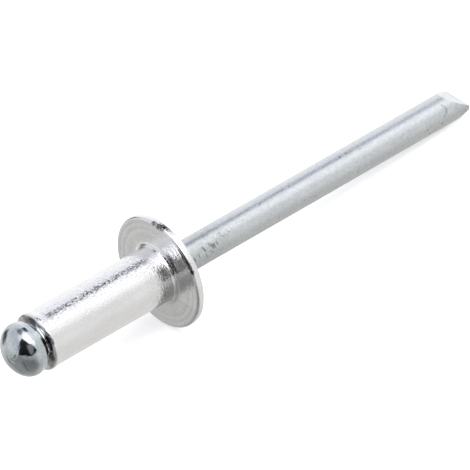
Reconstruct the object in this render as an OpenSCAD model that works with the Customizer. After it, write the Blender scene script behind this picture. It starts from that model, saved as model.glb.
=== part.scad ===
// Open-end blind rivet as supplied: a tubular body with a domed flange, on its setting mandrel.
// Each piece is turned about its own axis, with the flange seat at height 0 and the stem going up.
// lie_at_rest() then lays both pieces down on the flange rim and the stem, stem towards +X.

/* [Rivet body] */
// Diameter of the shank that goes through the sheets
body_d = 4.8; // [4.4:0.1:5.4]
// Length of the shank, from the flange seat to its blind end
body_len = 12.85; // [8:0.05:24]
// Rounding of the edge at the blind end of the shank
body_end_r = 0.16; // [0.05:0.01:0.3]
// Hollow fillet between the shank and the flange
body_fillet_r = 0.4; // [0.1:0.05:0.8]

/* [Flange] */
// Diameter of the flange
flange_d = 9.86; // [8.6:0.02:12]
// Height of the flange at its crown, above the seat
flange_h = 1.35; // [1.1:0.05:2]
// Height of the widest part of the rim, above the seat
flange_rim_h = 0.5; // [0.3:0.05:0.7]
// Rounding of the lower edge of the rim
flange_edge_r = 0.1; // [0.04:0.01:0.2]
// Rounding of the upper edge of the rim
flange_shoulder_r = 0.22; // [0.1:0.02:0.3]

/* [Bore] */
// Clearance around the stem in the shank
bore_gap = 0.085; // [0.04:0.005:0.2]
// Length of the bead that is staked into the stem, down from the crown of the flange
grip_len = 1.1; // [0.8:0.05:2]
// Clearance between the staked bead and the bottom of its groove in the stem
grip_gap = 0.02; // [0.01:0.005:0.05]

/* [Mandrel stem] */
// Diameter of the stem
stem_d = 2.73; // [2.3:0.01:2.9]
// Length of the stem that stands out of the seat, to its cut tip
stem_len = 33.4; // [27:0.1:50]
// Length of the two slanted faces that the cut leaves at the tip
tip_len = 2; // [1:0.1:3]
// Thickness of the blunt chisel edge at the tip
tip_edge_t = 0.38; // [0.1:0.02:0.6]
// Depth of the groove that the staked bead holds on to
grip_groove_depth = 0.06; // [0.03:0.01:0.15]
// Diameter of the neck where the stem breaks when it is pulled
neck_d = 1.8; // [1.4:0.05:2.1]
// Length of the notch that makes the neck
neck_len = 0.9; // [0.5:0.05:1.5]
// Distance of the neck from the blind end of the shank
neck_depth = 2.4; // [1:0.1:5]

/* [Mandrel head] */
// Diameter of the head at its widest
head_d = 4.58; // [4:0.02:5]
// Rise of the rounded end of the head above its widest part
head_rise = 1.75; // [1.5:0.05:2.2]
// Radius of the round shoulder of the head
head_shoulder_r = 1.35; // [0.9:0.05:1.45]
// Length of the rim behind the widest part
head_rim_len = 0.5; // [0.3:0.05:0.8]
// Amount that the rim narrows on each side towards the shank
head_rim_draft = 0.09; // [0.02:0.01:0.15]
// Length of the collar between the head and the end of the shank
head_collar_len = 0.55; // [0.3:0.05:1]
// Width of the collar's seat on the end of the shank
head_seat_w = 0.18; // [0.1:0.02:0.3]
// Hollow fillet between the collar and the back of the head
head_collar_fillet_r = 0.12; // [0.04:0.02:0.2]

/* [Hidden] */

round_fn = 144;
arc_step = 3;
cut_margin = 1;

body_r = body_d / 2;
flange_r = flange_d / 2;
stem_r = stem_d / 2;
head_r = head_d / 2;
neck_r = neck_d / 2;
bore_r = stem_r + bore_gap;
groove_r = stem_r - grip_groove_depth;
bead_r = groove_r + grip_gap;

end_z = -body_len;
collar_r = bore_r + head_seat_w;
rim_back_z = end_z - head_collar_len;
head_z = rim_back_z - head_rim_len;
neck_z = end_z + neck_depth;
grip_z = flange_h - grip_len / 2;
tip_start_z = stem_len - tip_len;

// Lying down, the rivet touches the floor with the flange rim and the start of the tip's slant
rest_tilt = atan((flange_r - stem_r) / (tip_start_z - flange_rim_h));

// Points of an arc, without the one that it starts from
function arc(centre, r, from, to) = let (steps = ceil(abs(to - from) / arc_step)) [
    for (i = [1 : steps]) let (a = to + (from - to) * (1 - i / steps)) centre + r * [cos(a), sin(a)]
];

// Edge of a crowned form: up a round shoulder, smoothly into a wide arc, then a small flat to the axis
function crown(half_w, rise, shoulder_r) =
    let (
        shoulder_x = half_w - shoulder_r,
        crown_r = (pow(shoulder_x, 2) + pow(rise, 2) - pow(shoulder_r, 2)) / (2 * (rise - shoulder_r)),
        join_angle = atan2(crown_r - rise, shoulder_x),
        wide_arc = arc([0, rise - crown_r], crown_r, join_angle, 90 - arc_step)
    )
    concat(
        [[half_w, 0]],
        arc([shoulder_x, 0], shoulder_r, 0, join_angle),
        wide_arc,
        [[0, wide_arc[len(wide_arc) - 1][1]]]
    );

// What a rounding takes off the outer corner at the origin, whose solid is to the left and above
module corner_waste(r) {
    difference() {
        translate([-r, -cut_margin]) square([r + cut_margin, r + cut_margin]);
        translate([-r, r]) circle(r, $fn = round_fn);
    }
}

// Hollow fillet in an inner corner at the origin, whose solid is to the left and below
module root_fillet(r) {
    difference() {
        square(r);
        translate([r, r]) circle(r, $fn = round_fn);
    }
}

// Half section of the body without its bore
module body_outline() {
    difference() {
        translate([0, end_z]) square([body_r, body_len + flange_rim_h]);
        translate([body_r, end_z]) corner_waste(body_end_r);
    }
    translate([body_r, 0]) mirror([0, 1]) root_fillet(body_fillet_r);
    difference() {
        square([flange_r, flange_rim_h]);
        translate([flange_r, 0]) corner_waste(flange_edge_r);
    }
    translate([0, flange_rim_h])
        polygon(concat([[0, 0]], crown(flange_r, flange_h - flange_rim_h, flange_shoulder_r)));
}

// Half section of the bore, which narrows to a staked bead under the crown of the flange
module bore_outline() {
    polygon([
        [0, end_z - cut_margin],
        [bore_r, end_z - cut_margin],
        [bore_r, grip_z - grip_len / 2],
        [bead_r, grip_z],
        [bore_r, grip_z + grip_len / 2],
        [bore_r, flange_h + cut_margin],
        [0, flange_h + cut_margin]
    ]);
}

// Half section of the mandrel: domed head with a flat back, collar that seats on the shank, stem
module mandrel_outline() {
    dome = crown(head_r, head_rise, head_shoulder_r);
    polygon(concat(
        [for (i = [len(dome) - 1 : -1 : 0]) [dome[i][0], head_z - dome[i][1]]],
        [[head_r - head_rim_draft, rim_back_z], [0, rim_back_z]]
    ));
    translate([0, rim_back_z]) square([collar_r, head_collar_len]);
    translate([collar_r, rim_back_z]) root_fillet(head_collar_fillet_r);
    translate([0, head_z]) square([stem_r, stem_len - head_z]);
}

// Half section of a V groove rolled into the stem
module stem_groove(bottom_r, mid_z, len) {
    polygon([
        [bottom_r, mid_z],
        [stem_r, mid_z + len / 2],
        [stem_r + cut_margin, mid_z + len / 2],
        [stem_r + cut_margin, mid_z - len / 2],
        [stem_r, mid_z - len / 2]
    ]);
}

// What the cut takes off one side of the tip
module tip_waste() {
    edge_x = tip_edge_t / 2;
    slant = tip_len / (stem_r - edge_x);
    rotate([90, 0, 0]) linear_extrude(height = stem_d + cut_margin, center = true) polygon([
        [edge_x, stem_len],
        [stem_r + cut_margin, stem_len - slant * (stem_r + cut_margin - edge_x)],
        [stem_r + cut_margin, stem_len + cut_margin],
        [edge_x, stem_len + cut_margin]
    ]);
}

module lie_at_rest() {
    rotate([0, 90 + rest_tilt, 0]) children();
}

module rivet_body() {
    color("gainsboro") lie_at_rest() rotate_extrude($fn = round_fn) difference() {
        body_outline();
        bore_outline();
    }
}

module mandrel() {
    color("silver") lie_at_rest() difference() {
        rotate_extrude($fn = round_fn) difference() {
            mandrel_outline();
            stem_groove(neck_r, neck_z, neck_len);
            stem_groove(groove_r, grip_z, grip_len);
        }
        tip_waste();
        mirror([1, 0, 0]) tip_waste();
    }
}

rivet_body();
mandrel();
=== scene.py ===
import math

import bmesh
import bpy
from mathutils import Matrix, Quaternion, Vector
from mathutils.kdtree import KDTree


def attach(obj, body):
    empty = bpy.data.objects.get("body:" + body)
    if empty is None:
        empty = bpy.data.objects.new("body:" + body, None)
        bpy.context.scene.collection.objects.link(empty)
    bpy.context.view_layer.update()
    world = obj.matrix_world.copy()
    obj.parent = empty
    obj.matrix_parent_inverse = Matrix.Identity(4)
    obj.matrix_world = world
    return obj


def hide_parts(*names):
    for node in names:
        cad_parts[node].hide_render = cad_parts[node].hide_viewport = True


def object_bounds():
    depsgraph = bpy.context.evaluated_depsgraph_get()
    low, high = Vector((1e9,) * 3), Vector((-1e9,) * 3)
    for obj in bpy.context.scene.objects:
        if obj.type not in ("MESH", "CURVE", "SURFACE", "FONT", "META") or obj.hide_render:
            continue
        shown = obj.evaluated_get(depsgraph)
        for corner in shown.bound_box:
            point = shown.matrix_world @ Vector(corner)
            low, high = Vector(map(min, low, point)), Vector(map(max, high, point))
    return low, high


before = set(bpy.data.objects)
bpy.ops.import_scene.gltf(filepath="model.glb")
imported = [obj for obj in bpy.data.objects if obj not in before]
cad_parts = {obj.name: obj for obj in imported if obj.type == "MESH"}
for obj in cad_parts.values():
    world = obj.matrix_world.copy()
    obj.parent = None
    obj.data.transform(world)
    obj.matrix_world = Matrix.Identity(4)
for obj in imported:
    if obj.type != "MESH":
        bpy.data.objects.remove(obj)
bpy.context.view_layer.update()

# Rivet body
# One piece of soft aluminium, headed from wire: a tube with a wide thin flange upset at one end.
# Tumbling leaves it satin bright, and the heading die leaves faint rings under the flange.
MM = 0.001
SIDES = 176
# Sizes are in millimetres: radii from the axis, heights and lengths from the seat of the flange
shank_r = 2.4
shank_len = 12.85
shank_ring_gap = 0.14
blind_edge_r = 0.28
blind_edge_steps = 8
blind_face_gap = 0.08
blind_flare = 0.07
blind_flare_len = 0.7
blind_flare_steps = 8
mouth_lip_inner_r = 1.67
mouth_lip_outer_r = 1.8
mouth_lip_h = 0.12
mouth_lip_draft = 0.02
mouth_lip_gap = 0.04
root_fillet_r = 0.4
root_fillet_steps = 10
flange_r = 4.93
flange_rim_h = 0.5
flange_crown_h = 1.35
flange_crown_steps = 16
flange_lower_edge_r = 0.2
flange_lower_edge_steps = 5
flange_upper_edge_r = 0.22
flange_face_gap = 0.3
die_ring_r = (3.9, 4.42)
die_ring_w = 0.1
die_ring_depth = 0.011
stem_r = 1.365
stem_len = 33.4
tip_len = 2.0
bore_gap = 0.085
bore_r = stem_r + bore_gap
bore_edge_drop = 0.06
groove_depth = 0.06
bead_gap = 0.02
bead_r = stem_r - groove_depth + bead_gap
bead_len = 1.1
# The rivet lies on the flange rim and on the stem where the tip's slant starts
lie_angle = math.atan((flange_r - stem_r) / (stem_len - tip_len - flange_rim_h))
sharp_edge_angle = math.radians(32)
weld_distance = MM / 1000


def arc(centre_r, centre_z, r, start, end, steps):
    """Points of an arc in the outline, from one angle to the other, both ends included."""
    angles = [math.radians(start + (end - start) * i / steps) for i in range(steps + 1)]
    return [(centre_r + r * math.cos(a), centre_z + r * math.sin(a)) for a in angles]


def straight(start, end, gap):
    """Points along a straight line, without its first, about a gap apart."""
    steps = max(1, round(math.dist(start, end) / gap))
    return [tuple(s + (e - s) * i / steps for s, e in zip(start, end)) for i in range(1, steps + 1)]


def crown_arcs(half_w, rise, shoulder_r, steps):
    """A round shoulder that runs smoothly into a wide arc, which ends on the axis."""
    shoulder_x = half_w - shoulder_r
    crown_r = (shoulder_x ** 2 + rise ** 2 - shoulder_r ** 2) / (2 * (rise - shoulder_r))
    join = math.degrees(math.atan2(crown_r - rise, shoulder_x))
    shoulder = arc(shoulder_x, 0, shoulder_r, 0, join, steps)
    return shoulder + arc(0, rise - crown_r, crown_r, join, 90, steps)[1:]


def spin_outline(name, outline):
    """Draws the outline point by point, spins it about the Z axis and adds a value for how dark its marks
    are made.
    """
    bpy.ops.object.select_all(action="DESELECT")
    bpy.ops.mesh.primitive_plane_add(size=MM)
    piece = bpy.context.object
    piece.name = name
    bpy.ops.object.mode_set(mode="EDIT")
    bpy.ops.mesh.merge(type="CENTER")
    bpy.ops.transform.translate(value=(outline[0][0] * MM, 0, outline[0][1] * MM))
    for (r, z), (next_r, next_z) in zip(outline, outline[1:]):
        step = ((next_r - r) * MM, 0, (next_z - z) * MM)
        bpy.ops.mesh.extrude_region_move(TRANSFORM_OT_translate={"value": step})
    bpy.ops.mesh.select_all(action="SELECT")
    bpy.ops.mesh.spin(steps=SIDES, angle=2 * math.pi, center=(0, 0, 0), axis=(0, 0, 1))
    bpy.ops.mesh.select_all(action="SELECT")
    bpy.ops.mesh.remove_doubles(threshold=weld_distance)
    bpy.ops.mesh.normals_make_consistent(inside=False)
    bpy.ops.object.mode_set(mode="OBJECT")
    piece.data.attributes.new("marks_darkened", "FLOAT", "POINT")
    return piece


def lay_down(piece, node):
    """Lays a finished piece down as the rivet rests, in the place of its node."""
    bpy.ops.object.select_all(action="DESELECT")
    piece.select_set(True)
    bpy.context.view_layer.objects.active = piece
    bpy.ops.object.shade_smooth_by_angle(angle=sharp_edge_angle)
    piece.rotation_euler = (0, math.pi / 2 + lie_angle, 0)
    bpy.ops.object.transform_apply(location=True, rotation=True, scale=True)
    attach(piece, "root")
    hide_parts(node)


def flange_face():
    """The flat under the flange, with the shallow rings that the die leaves."""
    points = [(shank_r + root_fillet_r, 0)]
    for r in die_ring_r:
        points += straight(points[-1], (r - die_ring_w, 0), flange_face_gap)
        points += [(r, die_ring_depth), (r + die_ring_w, 0)]
    return points[1:]


def flared_end():
    """The blind end: its face, with the lip round the mandrel, and its slightly flared round edge."""
    lip_z = -shank_len - mouth_lip_h
    lip_edge = (mouth_lip_outer_r - mouth_lip_draft, lip_z)
    points = [(bore_r, -shank_len), (mouth_lip_inner_r, -shank_len), (mouth_lip_inner_r, lip_z)]
    points += straight(lip_edge, (mouth_lip_outer_r, -shank_len), mouth_lip_gap)
    edge_centre_r = shank_r + blind_flare - blind_edge_r
    edge_centre_z = blind_edge_r - shank_len
    points += straight(points[-1], (edge_centre_r, -shank_len), blind_face_gap)
    points += arc(edge_centre_r, edge_centre_z, blind_edge_r, -90, 0, blind_edge_steps)[1:]
    for i in range(1, blind_flare_steps + 1):
        narrowing = (1 + math.cos(math.pi * i / blind_flare_steps)) / 2
        z = points[-1][1] + blind_flare_len / blind_flare_steps
        points.append((shank_r + blind_flare * narrowing, z))
    return points


lower_edge_centre_r = flange_r - flange_lower_edge_r
flange_crown = crown_arcs(flange_r, flange_crown_h - flange_rim_h, flange_upper_edge_r, flange_crown_steps)
body_outline = flared_end()
body_outline += straight(body_outline[-1], (shank_r, -root_fillet_r), shank_ring_gap)
body_outline += arc(shank_r + root_fillet_r, -root_fillet_r, root_fillet_r, 180, 90, root_fillet_steps)[1:]
body_outline += flange_face()
body_outline += arc(
    lower_edge_centre_r, flange_lower_edge_r, flange_lower_edge_r, -90, 0, flange_lower_edge_steps
)
body_outline += [(r, flange_rim_h + z) for r, z in flange_crown if r > bore_r]
body_outline += [(bore_r, flange_crown_h - bore_edge_drop), (bead_r, flange_crown_h - bead_len / 2)]
body_outline += [(bore_r, flange_crown_h - bead_len), (bore_r, -shank_len)]
body = spin_outline("aluminium_body", body_outline)


def on_lathe(z, r, up):
    """A place on a piece before it is laid down: along it, its radius, the angle up the front."""
    turned = math.radians(-up)
    return Vector((r * math.cos(turned), r * math.sin(turned), z)) * MM


def find_places(piece):
    """A search tree over the places of a piece's vertices."""
    finder = KDTree(len(piece.data.vertices))
    for vert in piece.data.vertices:
        finder.insert(vert.co, vert.index)
    finder.balance()
    return finder


# Above 1, the darkening in a mark, from dirt and painted shade, stays full in the middle, before it fades to
# the mark's edge
darkening_fullness = 1.5


def press(piece, finder, places, width, depth, darkening):
    """Pushes the surface in at some places, with a soft edge round them, and marks how dark they are made
    there, with dirt and painted shade.
    """
    bpy.ops.mesh.select_all(action="DESELECT")
    mesh = bmesh.from_edit_mesh(piece.data)
    mesh.verts.ensure_lookup_table()
    marks_darkened = mesh.verts.layers.float["marks_darkened"]
    reach = width / 2 * MM
    inward = Vector((0, 0, 0))
    for place in places:
        nearest = mesh.verts[finder.find(place)[1]]
        nearest.select_set(True)
        inward -= nearest.normal
        for spot, index, away in finder.find_range(place, reach):
            share = darkening * min(1, darkening_fullness * (1 - away / reach))
            mesh.verts[index][marks_darkened] = max(mesh.verts[index][marks_darkened], share)
    mesh.select_flush_mode()
    bmesh.update_edit_mesh(piece.data)
    bpy.ops.transform.translate(
        value=inward.normalized() * (depth * MM),
        use_proportional_edit=True,
        proportional_edit_falloff="SMOOTH",
        proportional_size=reach,
    )


# Small dents: place along the body, radius, angle up the front, width, depth
body_dents = [
    (-shank_len, 2.05, 97, 0.3, 0.07),
    (-12.3, 2.4, 114, 0.16, 0.02),
    (-11.7, 2.4, 108, 0.2, 0.02),
    (-11.2, 2.4, 78, 0.2, 0.02),
]
body_places = find_places(body)
bpy.ops.object.mode_set(mode="EDIT")
bpy.ops.mesh.select_mode(type="VERT")
for z, r, up, width, depth in body_dents:
    press(body, body_places, [on_lathe(z, r, up)], width, depth, darkening=0)
bpy.ops.object.mode_set(mode="OBJECT")


def add(tree, kind, **values):
    """Adds a node and sets its options, and its sockets by name."""
    made = tree.nodes.new(kind)
    for key, value in values.items():
        if hasattr(made, key):
            setattr(made, key, value)
        else:
            made.inputs[key.replace("_", " ").title()].default_value = value
    return made


def length_coords(tree, size=(1, 1, 1)):
    """Object coordinates in millimetres, turned so that X runs along the rivet, over a grain size."""
    coords = add(tree, "ShaderNodeTexCoord")
    turn = add(tree, "ShaderNodeMapping", vector_type="TEXTURE")
    turn.inputs["Rotation"].default_value = (0, lie_angle, 0)
    turn.inputs["Scale"].default_value = tuple(MM * s for s in size)
    tree.links.new(coords.outputs["Object"], turn.inputs["Vector"])
    return turn.outputs["Vector"]


def noise(tree, size, detail=3.0):
    """A noise over grains of the given size in millimetres, along, across and up the rivet."""
    made = add(tree, "ShaderNodeTexNoise", scale=1.0, detail=detail)
    tree.links.new(length_coords(tree, size), made.inputs["Vector"])
    return made.outputs["Fac"]


def spread(tree, value, low, high):
    """Maps the middle of a noise to a range."""
    made = add(tree, "ShaderNodeMapRange")
    for name, number in (("From Min", 0.3), ("From Max", 0.7), ("To Min", low), ("To Max", high)):
        made.inputs[name].default_value = number
    tree.links.new(value, made.inputs["Value"])
    return made.outputs["Result"]


def soft_step(tree, value, start, end, low=0, high=1):
    """Low before the start and high past the end, with a smooth change between them."""
    made = add(tree, "ShaderNodeMapRange", interpolation_type="SMOOTHSTEP")
    for name, number in (("From Min", start), ("From Max", end), ("To Min", low), ("To Max", high)):
        made.inputs[name].default_value = number
    tree.links.new(value, made.inputs["Value"])
    return made.outputs["Result"]


def tint(tree, value, colours):
    """A colour ramp over a value from 0 to 1, from places and colours."""
    made = add(tree, "ShaderNodeValToRGB")
    ramp = made.color_ramp
    while len(ramp.elements) < len(colours):
        ramp.elements.new(0.5)
    for element, (place, colour) in zip(ramp.elements, colours):
        element.position = place
        element.color = (*colour, 1)
    tree.links.new(value, made.inputs["Fac"])
    return made.outputs["Color"]


def bump(tree, height, depth, under=None):
    """A bump of a depth in millimetres, over another one if given."""
    made = add(tree, "ShaderNodeBump", strength=1, distance=depth * MM)
    tree.links.new(height, made.inputs["Height"])
    if under:
        tree.links.new(under, made.inputs["Normal"])
    return made.outputs["Normal"]


def metal(name):
    """A bare metal surface, and its shader."""
    material = bpy.data.materials.new(name)
    material.use_nodes = True
    shader = material.node_tree.nodes["Principled BSDF"]
    shader.inputs["Metallic"].default_value = 1
    return material, shader


def near(tree, place, inner, outer):
    """1 near a place, given in millimetres along, across and up the rivet, and 0 away from it."""
    away = add(tree, "ShaderNodeVectorMath", operation="DISTANCE")
    away.inputs[1].default_value = place
    tree.links.new(length_coords(tree), away.inputs[0])
    return soft_step(tree, away.outputs["Value"], outer, inner)


def on_round(z, r, up):
    """A place on a round form: along the rivet, its radius, and the angle up the front from underneath."""
    turned = math.radians(up)
    return (z, -r * math.sin(turned), -r * math.cos(turned))


def math_node(tree, operation, first, second):
    """A sum, product or other function of two numbers or sockets."""
    made = add(tree, "ShaderNodeMath", operation=operation)
    for socket, value in zip(made.inputs, (first, second)):
        if isinstance(value, (int, float)):
            socket.default_value = value
        else:
            tree.links.new(value, socket)
    return made.outputs[0]


def times(tree, *factors):
    """The product of some numbers or sockets."""
    product = factors[0]
    for factor in factors[1:]:
        product = math_node(tree, "MULTIPLY", product, factor)
    return product


def overlayed(tree, colour, share, overlay):
    """A colour with another colour over it where the share is high, used for stains and for painted shade.
    """
    made = add(tree, "ShaderNodeMix", data_type="RGBA")
    made.inputs["B"].default_value = (*overlay, 1)
    tree.links.new(share, made.inputs["Factor"])
    tree.links.new(colour, made.inputs["A"])
    return made.outputs["Result"]


def along(tree, start, end, low, high, axis="X"):
    """A value that changes from low to high between two places along, across or up the rivet."""
    split = add(tree, "ShaderNodeSeparateXYZ")
    tree.links.new(length_coords(tree), split.inputs[0])
    return soft_step(tree, split.outputs[axis], start, end, low, high)


# Oily dirt on the flange's rim, and a dark reddish spot on the shank by the flange: place, inner and outer
# radius, colour
oil = (0.07, 0.055, 0.065)
rim_grime = (0.13, 0.13, 0.135)
dark_marks = [
    (on_round(0.02, 4.9, 172), 0.12, 0.36, rim_grime),
    (on_round(0.0, 4.9, 177), 0.2, 0.42, (0.1, 0.1, 0.105)),
    (on_round(0.0, 4.9, 183), 0.12, 0.36, rim_grime),
    # A dark reddish spot on the shank by the flange
    (on_round(-0.9, 2.4, 131), 0.05, 0.55, (0.4, 0.29, 0.3)),
]
# A line of oil starts on the flange's edge at an angle up the front, and runs in by this much a degree
oil_start_up = 118
oil_run_in = 0.012
oil_end_r = 4.69
for up in range(120, 138, 4):
    dark_marks.append((on_round(0, flange_r - oil_run_in * (up - oil_start_up), up), 0.1, 0.32, oil))
for up in range(138, 146, 2):
    dark_marks.append((on_round(0, oil_end_r, up), 0.04, 0.16, oil))
# Painted shade on the face of the blind end, round the lip, in the gap under the mandrel's head
face_painted_shade = [
    (on_round(-shank_len, 2.05, 122), 0.4, 0.75, (0.25, 0.26, 0.29)),
    (on_round(-shank_len, 1.95, 82), 0.25, 0.6, (0.12, 0.12, 0.08)),
    (on_round(-shank_len, 2.0, 62), 0.2, 0.7, (0.42, 0.4, 0.36)),
    (on_round(-shank_len, 2.05, 188), 0.35, 0.75, (0.12, 0.15, 0.16)),
    (on_round(-shank_len, 2.05, 208), 0.3, 0.7, (0.3, 0.31, 0.28)),
    (on_round(-shank_len, 2.05, 228), 0.3, 0.7, (0.6, 0.58, 0.57)),
]
aluminium_colours = [(0.3, (0.88, 0.878, 0.876)), (0.7, (0.94, 0.94, 0.94))]
# Painted shade: the body is made greyer on its underside
painted_underside_shade = (0.55, 0.55, 0.55)
mottle_grey = (0.68, 0.66, 0.66)


def aluminium_colour(tree):
    """Faint clouds and mottles, greyer underneath as painted shade, with the oily dirt and a dark spot over
    them, and painted shade on the blind end's face.
    """
    colour = tint(tree, noise(tree, size=(2.4, 1.2, 1.2)), aluminium_colours)
    # Painted shade towards the underside, standing in for the shade near the floor
    shaded_underside = along(tree, start=-1.35, end=-0.95, low=0.25, high=0, axis="Z")
    colour = overlayed(tree, colour, shaded_underside, painted_underside_shade)
    mottled = spread(tree, noise(tree, size=(0.16, 0.25, 0.25), detail=2.0), low=0, high=0.14)
    colour = overlayed(tree, colour, mottled, mottle_grey)
    speckle = spread(tree, noise(tree, size=(0.14, 0.14, 0.14)), low=0, high=1.6)
    for place, inner, outer, overlay in dark_marks:
        colour = overlayed(tree, colour, times(tree, near(tree, place, inner, outer), speckle), overlay)
    past_lip = along(tree, start=-shank_len - 0.04, end=-shank_len - 0.01, low=0, high=1)
    before_edge = along(tree, start=-shank_len + 0.02, end=-shank_len + 0.12, low=1, high=0)
    # Painted shade in the gap between the blind end's face and the head
    for place, inner, outer, overlay in face_painted_shade:
        share = times(tree, near(tree, place, inner, outer), past_lip, before_edge)
        colour = overlayed(tree, colour, share, overlay)
    return colour


def aluminium_surface(tree):
    """Long waves, a fine grain, the dimples that tumbling leaves, and scuffs along the shank's top."""
    waves = bump(tree, noise(tree, size=(3.0, 1.0, 1.0), detail=1.0), depth=0.008)
    grain = bump(tree, noise(tree, size=(0.17, 0.17, 0.17), detail=2.0), depth=0.014, under=waves)
    dimples = soft_step(tree, noise(tree, size=(0.15, 0.13, 0.13), detail=1.0), start=0.54, end=0.7)
    dimpled = bump(tree, dimples, depth=0.007, under=grain)
    scuffs = soft_step(tree, noise(tree, size=(0.22, 0.17, 0.17), detail=1.0), start=0.54, end=0.68)
    on_top = along(tree, start=1.75, end=2.15, low=0, high=1, axis="Z")
    off_flange = along(tree, start=-0.9, end=-0.5, low=1, high=0)
    return bump(tree, times(tree, scuffs, on_top, off_flange), depth=0.013, under=dimpled)


def tumbled_aluminium():
    """Bright satin aluminium."""
    material, shader = metal("tumbled_aluminium")
    tree = material.node_tree
    satin = spread(tree, noise(tree, size=(0.5, 0.3, 0.3)), low=0.07, high=0.12)
    tree.links.new(aluminium_colour(tree), shader.inputs["Base Color"])
    tree.links.new(satin, shader.inputs["Roughness"])
    tree.links.new(aluminium_surface(tree), shader.inputs["Normal"])
    return material


body.data.materials.append(tumbled_aluminium())
lay_down(body, "rivet_body")

# Mandrel
# A length of drawn steel wire with a round head upset on it, zinc plated bright and blue.
# It runs through the body, which is staked on to it, and is cut to a blunt chisel tip.
stem_ring_gap = 0.1
marked_ring_gap = 0.06
marked_len = 9.0
neck_r = 0.9
neck_len = 0.9
neck_depth = 2.4
neck_z = neck_depth - shank_len
groove_r = stem_r - groove_depth
collar_len = 0.55
collar_seat_w = 0.18
collar_r = bore_r + collar_seat_w
collar_ring_gap = 0.06
collar_fillet_r = 0.12
collar_fillet_steps = 5
head_r = 2.29
head_rise = 1.75
head_shoulder_r = 1.35
head_dome_steps = 30
head_rim_r = 2.2
head_rim_end_r = 2.21
head_rim_len = 0.5
head_rim_z = -collar_len - shank_len
head_z = head_rim_z - head_rim_len
head_ring_gap = 0.12
head_edge_r = 0.05
head_edge_start = 10
head_edge_steps = 5
head_ledge = 0.03
head_ledge_len = 0.05
tip_edge_half = 0.19
tip_cut_tolerance = MM / 10000

head_edge_centre = (head_rim_r - head_edge_r, head_rim_z - head_edge_r)
fillet_centre = (collar_r + collar_fillet_r, head_rim_z + collar_fillet_r)
head_dome = crown_arcs(head_r, head_rise, head_shoulder_r, head_dome_steps)
dome_outline = [(r, head_z - z) for r, z in reversed(head_dome)]
mandrel_outline = dome_outline + [(head_r - head_ledge, head_z + head_ledge_len)]
mandrel_outline += straight(mandrel_outline[-1], (head_rim_end_r, head_edge_centre[1]), head_ring_gap)
mandrel_outline += arc(*head_edge_centre, head_edge_r, head_edge_start, 90, head_edge_steps)
mandrel_outline += straight(mandrel_outline[-1], (fillet_centre[0], head_rim_z), head_ring_gap)
mandrel_outline += arc(*fillet_centre, collar_fillet_r, -90, -180, collar_fillet_steps)[1:]
mandrel_outline += straight(mandrel_outline[-1], (collar_r, -shank_len), collar_ring_gap)
mandrel_outline += [(stem_r, -shank_len), (stem_r, neck_z - neck_len / 2), (neck_r, neck_z)]
mandrel_outline += [(stem_r, neck_z + neck_len / 2), (stem_r, flange_crown_h - bead_len)]
mandrel_outline += [(groove_r, flange_crown_h - bead_len / 2), (stem_r, flange_crown_h)]
mandrel_outline += straight(mandrel_outline[-1], (stem_r, marked_len), marked_ring_gap)
mandrel_outline += straight(mandrel_outline[-1], (stem_r, stem_len), stem_ring_gap)
mandrel_outline += [(0, stem_len)]
mandrel = spin_outline("zinc_mandrel", mandrel_outline)


def cut_tip(piece):
    """Cuts the two slanted faces that leave a blunt chisel edge."""
    slope = math.atan((stem_r - tip_edge_half) / tip_len)
    bpy.ops.object.mode_set(mode="EDIT")
    for side in (1, -1):
        bpy.ops.mesh.select_all(action="SELECT")
        bpy.ops.mesh.bisect(
            plane_co=(side * tip_edge_half * MM, 0, stem_len * MM),
            plane_no=(side * math.cos(slope), 0, math.sin(slope)),
            use_fill=True,
            clear_outer=True,
            threshold=tip_cut_tolerance,
        )
    bpy.ops.mesh.select_all(action="SELECT")
    bpy.ops.mesh.normals_make_consistent(inside=False)
    bpy.ops.object.mode_set(mode="OBJECT")


# Nicks that tools left round the stem: place along it and angle up the front at both ends, width, depth
nicks = [
    (2.66, 120, 2.70, 106, 0.14, 0.03),
    (2.86, 118, 2.99, 102, 0.18, 0.045),
    (3.10, 76, 3.15, 58, 0.14, 0.03),
    (3.41, 120, 3.46, 108, 0.17, 0.035),
    (4.01, 136, 4.13, 117, 0.17, 0.045),
    (4.06, 109, 4.20, 94, 0.14, 0.025),
    (4.52, 112, 4.87, 99, 0.15, 0.03),
    (4.62, 142, 4.64, 129, 0.13, 0.025),
    (4.74, 137, 4.79, 123, 0.14, 0.04),
    (4.90, 130, 4.96, 113, 0.15, 0.045),
    (5.09, 128, 5.17, 111, 0.15, 0.04),
    (5.42, 129, 5.47, 118, 0.15, 0.035),
    (5.98, 141, 6.28, 131, 0.14, 0.025),
    (6.49, 139, 6.52, 131, 0.13, 0.02),
    (6.91, 146, 6.92, 132, 0.15, 0.035),
    (7.26, 149, 7.31, 140, 0.13, 0.025),
    (7.98, 147, 7.98, 141, 0.13, 0.025),
]
# A nick is pressed in at points about so many degrees apart
nick_step = 1.5
# How dark a nick is made: dirt and painted shade in it
nick_darkening = 0.62
# The edge that a nick throws up beside it: how far from it, width, height
burr_step = 0.11
burr_w = 0.13
burr_h = 0.012
# Small pits in the plating: place along the stem, angle up the front, width, depth
pits = [
    (8.62, 147, 0.14, 0.02),
    (10.8, 167, 0.2, 0.02),
    (12.0, 88, 0.2, 0.02),
    (14.1, 170, 0.2, 0.015),
    (14.8, 98, 0.2, 0.015),
    (16.0, 86, 0.24, 0.02),
    (19.7, 171, 0.26, 0.03),
    (20.4, 171, 0.2, 0.02),
    (20.7, 89, 0.24, 0.03),
    (21.8, 162, 0.22, 0.03),
    (28.6, 94, 0.24, 0.03),
    (28.9, 71, 0.24, 0.03),
    (29.45, 77, 0.24, 0.03),
    (30.3, 86, 0.3, 0.04),
    (30.6, 110, 0.24, 0.02),
    (33.0, 81, 0.24, 0.03),
]
pit_darkening = 0.8
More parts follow.
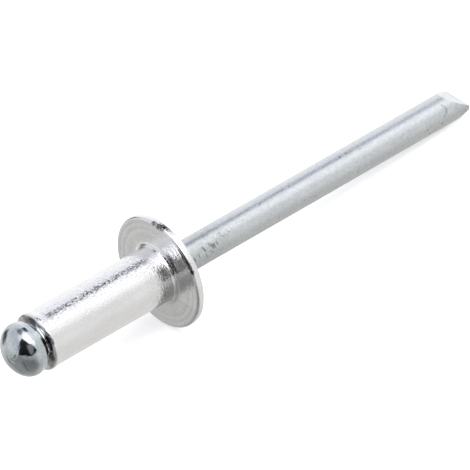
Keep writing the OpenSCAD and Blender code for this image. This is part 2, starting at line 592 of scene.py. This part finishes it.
# A small crater with a raised lip: place along the stem and angle up the front
crater_place = (6.14, 147)
crater_w = 0.5
crater_depth = 0.035
crater_lip_w = 0.75
crater_lip_h = 0.02
crater_darkening = 0.4
# A bowed dent near the tip
crescent_z = 30.85
crescent_start_up = 148
crescent_end_up = 114
crescent_steps = 12
crescent_bow = 0.16
crescent_w = 0.26
crescent_depth = 0.035
# How dark the bowed dent is made: dirt and painted shade in it
crescent_darkening = 0.5
# Scratches on the head: radius, less than 0 past the middle, and angle up the front at both ends, darkening
# from dirt and painted shade
head_scratches = [
    (0.15, 88, 0.98, 79, 0),
    (-0.2, 36, 0.38, 42, 0.6),
    (0.2, 60, 0.6, 62, 0.4),
    (0.98, 131, 0.8, 117, 0.5),
    (1.4, 98, 1.74, 72, 0.55),
    (1.2, 60, 1.6, 48, 0.3),
]
scratch_steps = 14
scratch_w = 0.2
scratch_depth = 0.03


def dome_z(r):
    """Where the dome of the head is along the mandrel, at a radius from its axis."""
    return min(dome_outline, key=lambda point: abs(point[0] - r))[1]


def shares(steps):
    """Even shares of a line, from 0 to 1."""
    return [i / steps for i in range(steps + 1)]


def mark_stem(piece, finder):
    """Presses the nicks and their thrown-up edges, the pits, the crater and the bowed dent into the stem."""
    for start_z, start_up, end_z, end_up, width, depth in nicks:
        line = straight((start_z, start_up), (end_z, end_up), nick_step)
        thrown_up = [on_lathe(z + burr_step, stem_r, up) for z, up in line]
        press(piece, finder, thrown_up, burr_w, -burr_h, darkening=0)
        press(piece, finder, [on_lathe(z, stem_r, up) for z, up in line], width, depth, nick_darkening)
    for z, up, width, depth in pits:
        press(piece, finder, [on_lathe(z, stem_r, up)], width, depth, pit_darkening)
    crater = [on_lathe(crater_place[0], stem_r, crater_place[1])]
    press(piece, finder, crater, crater_lip_w, -crater_lip_h, darkening=0)
    press(piece, finder, crater, crater_w, crater_depth + crater_lip_h, crater_darkening)
    bowed = []
    for share in shares(crescent_steps):
        z = crescent_z + crescent_bow * math.sin(math.pi * share)
        bowed.append(on_lathe(z, stem_r, crescent_start_up + (crescent_end_up - crescent_start_up) * share))
    press(piece, finder, bowed, crescent_w, crescent_depth, crescent_darkening)


def scratch_head(piece, finder):
    """Draws the scratches on the dome of the head."""
    for start_r, start_up, end_r, end_up, darkening in head_scratches:
        scratch = []
        for share in shares(scratch_steps):
            r = start_r + (end_r - start_r) * share
            up = start_up + (end_up - start_up) * share
            scratch.append(on_lathe(dome_z(abs(r)), r, up))
        press(piece, finder, scratch, scratch_w, scratch_depth, darkening)


mandrel_places = find_places(mandrel)
bpy.ops.object.mode_set(mode="EDIT")
bpy.ops.mesh.select_mode(type="VERT")
mark_stem(mandrel, mandrel_places)
scratch_head(mandrel, mandrel_places)
bpy.ops.object.mode_set(mode="OBJECT")
cut_tip(mandrel)


def mixed(tree, share, first, second):
    """A mix of two colours or values given by sockets."""
    made = add(tree, "ShaderNodeMix", data_type="RGBA")
    tree.links.new(share, made.inputs["Factor"])
    tree.links.new(first, made.inputs["A"])
    tree.links.new(second, made.inputs["B"])
    return made.outputs["Result"]


# The stem's zinc is painted lighter on its upper side and darker on its lower side, as painted light and
# shade, and the zinc is bluer on the head
lit_upper_colours = [(0.3, (0.68, 0.708, 0.72)), (0.55, (0.705, 0.738, 0.755)), (0.7, (0.73, 0.76, 0.77))]
shaded_lower_colours = [(0.3, (0.54, 0.56, 0.56)), (0.55, (0.575, 0.59, 0.595)), (0.7, (0.605, 0.615, 0.62))]
head_colours = [(0.3, (0.52, 0.57, 0.59)), (0.5, (0.63, 0.68, 0.705)), (0.7, (0.72, 0.745, 0.755))]
shaded_zinc = (0.38, 0.39, 0.38)
mottled_zinc = (0.42, 0.44, 0.45)
scuffed_zinc = (0.4, 0.42, 0.42)
speckled_zinc = (0.4, 0.43, 0.45)
marks_darkened_zinc = (0.2, 0.21, 0.21)
# Painted shade on the collar, in the recess behind the head: place, inner and outer radius, colour
collar_painted_shade = [
    (on_round(-13.25, 1.63, 125), 0.25, 0.6, (0.03, 0.03, 0.035)),
    (on_round(-13.25, 1.63, 95), 0.25, 0.7, (0.04, 0.04, 0.03)),
]
stem_metallic = 0.92
# The finish of the head turns into that of the stem over this length, hidden in the body
finish_change_len = 1


def head_to_stem(tree, on_head, on_stem):
    """A value that is one number on the head and another on the stem."""
    return along(tree, -shank_len, -shank_len + finish_change_len, on_head, on_stem)


def stem_colour(tree):
    """The stem: clouded, painted lighter above and with painted shade underneath, mottled, and scuffed where
    the nicks are.
    """
    cloud = noise(tree, size=(3.0, 0.8, 0.8))
    # Painted light and shade: the lighter colours on the upper side of the stem, the darker on the lower
    lit_side_share = along(tree, start=0.0, end=0.9, low=0, high=1, axis="Z")
    colour = mixed(tree, lit_side_share, tint(tree, cloud, shaded_lower_colours), tint(tree, cloud, lit_upper_colours))
    # Painted shade under the stem
    shaded_underside = along(tree, start=-0.5, end=-0.25, low=0.3, high=0, axis="Z")
    colour = overlayed(tree, colour, shaded_underside, shaded_zinc)
    mottled = spread(tree, noise(tree, size=(0.32, 0.22, 0.22), detail=2.0), low=0, high=0.36)
    colour = overlayed(tree, colour, mottled, mottled_zinc)
    scuffs = spread(tree, noise(tree, size=(0.2, 0.3, 0.3)), low=0, high=0.5)
    scuffed = times(tree, scuffs, along(tree, start=5.2, end=8, low=1, high=0))
    return overlayed(tree, colour, scuffed, scuffed_zinc)


def head_colour(tree):
    """The head: clouded and finely speckled."""
    colour = tint(tree, noise(tree, size=(0.9, 0.9, 0.9), detail=5.0), head_colours)
    speckled = spread(tree, noise(tree, size=(0.16, 0.16, 0.16), detail=2.0), low=0, high=0.4)
    return overlayed(tree, colour, speckled, speckled_zinc)


def zinc_surface(tree):
    """Hammer waves and pimples on the head, long drawing waves and a fine grain over all."""
    is_head = head_to_stem(tree, 1, 0)
    hammering = times(tree, noise(tree, size=(0.8, 0.8, 0.8), detail=2.0), is_head)
    pimples = times(tree, noise(tree, size=(0.25, 0.25, 0.25), detail=2.0), is_head)
    hammered = bump(tree, hammering, depth=0.03)
    pimpled = bump(tree, pimples, depth=0.006, under=hammered)
    waves = bump(tree, noise(tree, size=(3.0, 0.7, 0.7), detail=1.0), depth=0.01, under=pimpled)
    return bump(tree, noise(tree, size=(0.24, 0.2, 0.2), detail=2.0), depth=0.009, under=waves)


def zinc_plate():
    """Bright zinc plate: glossy on the head, satin on the stem, with painted shade behind the head and its
    marks darkened by dirt and painted shade.
    """
    material, shader = metal("zinc_plate")
    tree = material.node_tree
    is_stem = head_to_stem(tree, 0, 1)
    colour = mixed(tree, is_stem, head_colour(tree), stem_colour(tree))
    # Painted shade in the recess behind the head
    for place, inner, outer, overlay in collar_painted_shade:
        colour = overlayed(tree, colour, near(tree, place, inner, outer), overlay)
    # Marks darkened with dirt and painted shade in their hollows
    marks_darkened = add(tree, "ShaderNodeAttribute", attribute_name="marks_darkened")
    colour = overlayed(tree, colour, marks_darkened.outputs["Fac"], marks_darkened_zinc)
    stem_satin = spread(tree, noise(tree, size=(0.5, 0.25, 0.25)), low=0.24, high=0.34)
    head_gloss = spread(tree, noise(tree, size=(0.6, 0.6, 0.6)), low=0.07, high=0.14)
    tree.links.new(colour, shader.inputs["Base Color"])
    tree.links.new(head_to_stem(tree, 1, stem_metallic), shader.inputs["Metallic"])
    tree.links.new(mixed(tree, is_stem, head_gloss, stem_satin), shader.inputs["Roughness"])
    tree.links.new(zinc_surface(tree), shader.inputs["Normal"])
    return material


mandrel.data.materials.append(zinc_plate())
lay_down(mandrel, "mandrel")

# Studio
# A white floor under a light tent: a long soft light overhead, with a dark gap behind it.
# The tent is a sky that changes with the angle about the rivet's length, from the front wall up.
floor_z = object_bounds()[0][2]
floor_white = (0.96, 0.96, 0.96, 1)
floor_roughness = 0.9
floor_glow = 0.45
# The floor and the softbox are measured in metres
floor_size = 1.6
bpy.ops.object.select_all(action="DESELECT")
bpy.ops.mesh.primitive_plane_add(size=floor_size, location=(0, 0, floor_z))
floor = bpy.context.object
floor.name = "floor"
bpy.ops.object.transform_apply(location=True)
floor_paint = bpy.data.materials.new("floor_paint")
floor_paint.use_nodes = True
paint = floor_paint.node_tree.nodes["Principled BSDF"].inputs
paint["Base Color"].default_value = floor_white
paint["Roughness"].default_value = floor_roughness
paint["Emission Color"].default_value = (1, 1, 1, 1)
paint["Emission Strength"].default_value = floor_glow
floor.data.materials.append(floor_paint)
floor.visible_glossy = False
floor.visible_shadow = False

softbox_w = 1.4
softbox_height = 1.2
softbox_power = 9.0

# Brightness of the tent against the angle about its length: 0 front, 90 overhead, 180 back, 270 below
tent_bands = [
    (0, 0.82),
    (20, 0.78),
    (40, 0.92),
    (55, 1.1),
    (78, 1.25),
    (92, 1.12),
    (110, 0.95),
    (142, 1.0),
    (180, 1.15),
    (212, 1.1),
    (228, 0.92),
    (250, 0.77),
    (275, 0.74),
    (320, 0.72),
    (360, 0.82),
]
tent_brightest = 2.0
# Tint of the tent over the same angle: warm from the floor, blue from the sky behind
tent_tints = [
    (0.0, (1.0, 1.0, 1.0)),
    (0.24, (0.99, 0.995, 1.02)),
    (0.3, (0.95, 0.96, 1.05)),
    (0.4, (0.94, 0.96, 1.05)),
    (0.5, (1.0, 1.0, 1.0)),
    (0.8, (1.01, 1.0, 0.985)),
    (1.0, (1.0, 1.0, 1.0)),
]
# Dark gap behind the overhead light, over the stem side only: where it starts, is full, fades and ends
gap_angle = (97, 110, 123, 131)
gap_side = (0.22, 0.36, 0.58, 0.66)
# Soft round patches in the tent: azimuth, elevation, inner and outer radius, light left, light added
tent_patches = [
    ("back_left", 135, -5, 40, 90, 0.74, 0),
    ("back_table", 140, -34, 8, 30, 0.9, 0),
    ("left_below", -160, -45, 20, 70, 0.6, 0),
    ("front_table", -135, -38, 8, 40, 0.58, 0),
    ("back_light", 163, 56, 8, 22, 1, 0.3),
    ("key_top", 60, 80, 5, 20, 1, 0.4),
    ("rib", 108, 62, 6, 13, 0.45, 0),
    ("rib_start", 96, 53, 5, 11, 0.5, 0),
    ("rib_middle", 80, 59, 6, 13, 0.45, 0),
    ("rib_end", 47, 59, 5, 12, 0.45, 0),
    ("tent_door", 106, -8, 8, 17, 0.22, 0),
    ("tent_door_top", 99, 0, 6, 14, 0.4, 0),
    ("front_low", -118, -8, 10, 28, 0.8, 0),
    ("tip_light", 30, -10, 8, 22, 1, 0.15),
    ("tip_wall", 0, 0, 10, 28, 0, 0.95),
]
# The dark shape of a camera before the tent: azimuth and elevation of its corners, soft edge, light left
dark_corners = [
    (-174, -15),
    (-156, -9),
    (-120, 3),
    (-81, 4),
    (-79, 15),
    (-97, 41),
    (-140, 60),
    (173, 60),
    (171, 40),
]
dark_edge = 0.035
dark_left = 0.02
# What shines before it: the key light and the camera's lens
front_patches = [
    ("key_light", -100, 68, 9, 23, 1, 1.5),
    ("key_end", -125, 81, 7, 18, 1, 1.2),
    ("key_start", -76, 49, 4, 12, 1, 0.8),
    ("lens_ring", -125, 31, 10, 22, 1, 0.27),
]


def toward(azimuth, elevation):
    """The direction of a place in the tent, azimuth 0 along +X and 90 along +Y."""
    turned = math.radians(azimuth)
    raised = math.radians(elevation)
    level = math.cos(raised)
    return Vector((level * math.cos(turned), level * math.sin(turned), math.sin(raised)))


def dimmed(tree, light, place, left):
    """The light with only a share of it left at a place."""
    lost = math_node(tree, "MULTIPLY", place, 1 - left)
    return math_node(tree, "MULTIPLY", light, math_node(tree, "SUBTRACT", 1, lost))


def patched(tree, direction, light, patches):
    """The light of the tent with some soft round patches over it."""
    for name, azimuth, elevation, inner, outer, left, added in patches:
        nearness = add(tree, "ShaderNodeVectorMath", operation="DOT_PRODUCT", label=name)
        nearness.inputs[1].default_value = toward(azimuth, elevation)
        tree.links.new(direction, nearness.inputs[0])
        outside = math.cos(math.radians(outer))
        inside = math.cos(math.radians(inner))
        patch = soft_step(tree, nearness.outputs["Value"], outside, inside)
        light = dimmed(tree, light, patch, left)
        light = math_node(tree, "ADD", light, math_node(tree, "MULTIPLY", patch, added))
    return light


def dark_shape(tree, direction, corners, edge):
    """1 inside a shape with straight sides, whose corners are given turning to the left."""
    sides = []
    for first, second in zip(corners, corners[1:] + corners[:1]):
        side = add(tree, "ShaderNodeVectorMath", operation="DOT_PRODUCT")
        side.inputs[1].default_value = toward(*first).cross(toward(*second)).normalized()
        tree.links.new(direction, side.inputs[0])
        sides.append(soft_step(tree, side.outputs["Value"], -edge, edge))
    return times(tree, *sides)


def band_curve(tree, turns):
    """The brightness of the tent's bands, over turns about its length."""
    bands = add(tree, "ShaderNodeFloatCurve")
    curve = bands.mapping.curves[0]
    for place, value in tent_bands[1:-1]:
        curve.points.new(place / 360, value / tent_brightest)
    curve.points[0].location = (0, tent_bands[0][1] / tent_brightest)
    curve.points[-1].location = (1, tent_bands[-1][1] / tent_brightest)
    for point in curve.points:
        point.handle_type = "AUTO_CLAMPED"
    bands.mapping.update()
    tree.links.new(turns, bands.inputs["Value"])
    return math_node(tree, "MULTIPLY", bands.outputs[0], tent_brightest)


def overhead_gap(tree, turns, length):
    """1 in the gap behind the overhead light, by the turns about the tent and the place along it."""
    start, full, fades, end = [angle / 360 for angle in gap_angle]
    starts_at, full_at, fades_at, ends_at = gap_side
    return times(
        tree,
        soft_step(tree, turns, start, full),
        soft_step(tree, turns, end, fades),
        soft_step(tree, length, starts_at, full_at),
        soft_step(tree, length, ends_at, fades_at),
    )


def light_tent():
    """The tent: its bands and their tint, the gap, the patches, and the camera and lights before it."""
    world = bpy.data.worlds.new("light_tent")
    bpy.context.scene.world = world
    world.use_nodes = True
    tree = world.node_tree
    direction = add(tree, "ShaderNodeTexCoord").outputs["Generated"]
    split = add(tree, "ShaderNodeSeparateXYZ")
    tree.links.new(direction, split.inputs[0])
    front = math_node(tree, "MULTIPLY", split.outputs["Y"], -1)
    angle = math_node(tree, "ARCTAN2", split.outputs["Z"], front)
    turns = math_node(tree, "FRACT", math_node(tree, "DIVIDE", angle, 2 * math.pi), 0)
    light = band_curve(tree, turns)
    light = dimmed(tree, light, overhead_gap(tree, turns, split.outputs["X"]), left=0)
    light = patched(tree, direction, light, tent_patches)
    light = dimmed(tree, light, dark_shape(tree, direction, dark_corners, dark_edge), dark_left)
    light = patched(tree, direction, light, front_patches)
    background = tree.nodes["Background"]
    tree.links.new(light, background.inputs["Strength"])
    tree.links.new(tint(tree, turns, tent_tints), background.inputs["Color"])


light_tent()
bpy.ops.object.light_add(type="AREA", location=(0, 0, softbox_height))
softbox = bpy.context.object
softbox.name = "softbox"
softbox.data.size = softbox_w
softbox.data.energy = softbox_power
softbox.visible_glossy = False
bpy.context.scene.view_settings.view_transform = "Standard"

# Camera
# It looks down on the rivet past the head, from far away with a long lens, and leans a little.
camera_aim = Vector((8.25, 0, -1.64)) * MM
camera_distance = 448.27 * MM
camera_azimuth = math.radians(-36.972)
camera_elevation = math.radians(42.0565)
camera_roll = math.radians(8.245)
camera_lens = 425.6
camera_sensor_w = 36
camera_clip_start = 10 * MM
look = Vector((
    -math.sin(camera_azimuth) * math.cos(camera_elevation),
    math.cos(camera_azimuth) * math.cos(camera_elevation),
    -math.sin(camera_elevation),
))
bpy.ops.object.camera_add(location=camera_aim - look * camera_distance)
camera = bpy.context.object
camera.rotation_mode = "QUATERNION"
lean = Quaternion((0, 0, 1), -camera_roll)
camera.rotation_quaternion = look.to_track_quat("-Z", "Y") @ lean
camera.data.lens = camera_lens
camera.data.sensor_width = camera_sensor_w
camera.data.clip_start = camera_clip_start
bpy.context.scene.camera = camera
